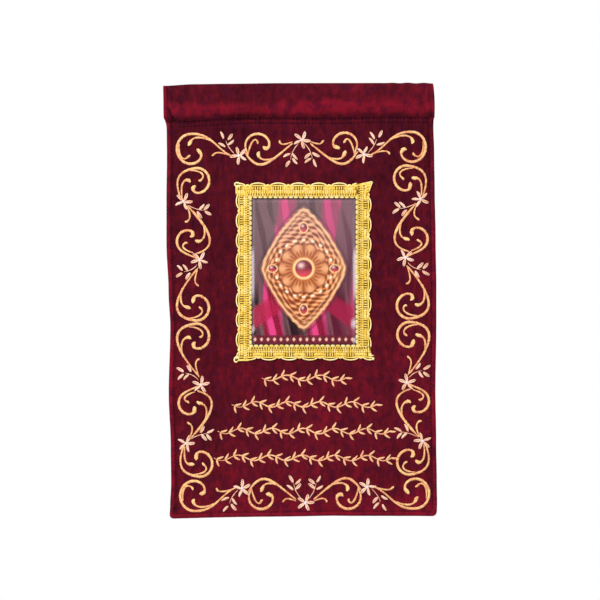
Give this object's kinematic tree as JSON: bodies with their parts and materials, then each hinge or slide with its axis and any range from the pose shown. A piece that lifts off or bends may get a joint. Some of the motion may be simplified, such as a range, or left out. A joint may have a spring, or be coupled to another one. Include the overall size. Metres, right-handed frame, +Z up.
{
  "type": "embroidered banner",
  "caption": "Small hanging velvet banner with a rod sleeve along the top, scroll embroidery and a braided frame around a film-covered picture card.",
  "frame": {"origin": "middle of the rod sleeve's top edge, where the banner hangs", "axes": "+Z up, +X to the right seen from the front, and the embroidered face looks along -Y"},
  "size_m": [0.2527, 0.0135, 0.4017],
  "materials": {
    "velvet": "short burgundy velvet pile",
    "gold_braid": "woven satin gimp braid",
    "gold_thread": "satin stitch embroidery thread",
    "pale_thread": "satin stitch embroidery thread",
    "printed_card": "printed coated card",
    "clear_film": "glossy clear film"
  },
  "bodies": {
    "root": {"panel": "velvet", "sleeve": "velvet", "picture_card": "printed_card", "clear_film": "clear_film", "braid_top": "gold_braid", "braid_right": "gold_braid", "braid_bottom": "gold_braid", "braid_left": "gold_braid"}
  },
  "joints": []
}
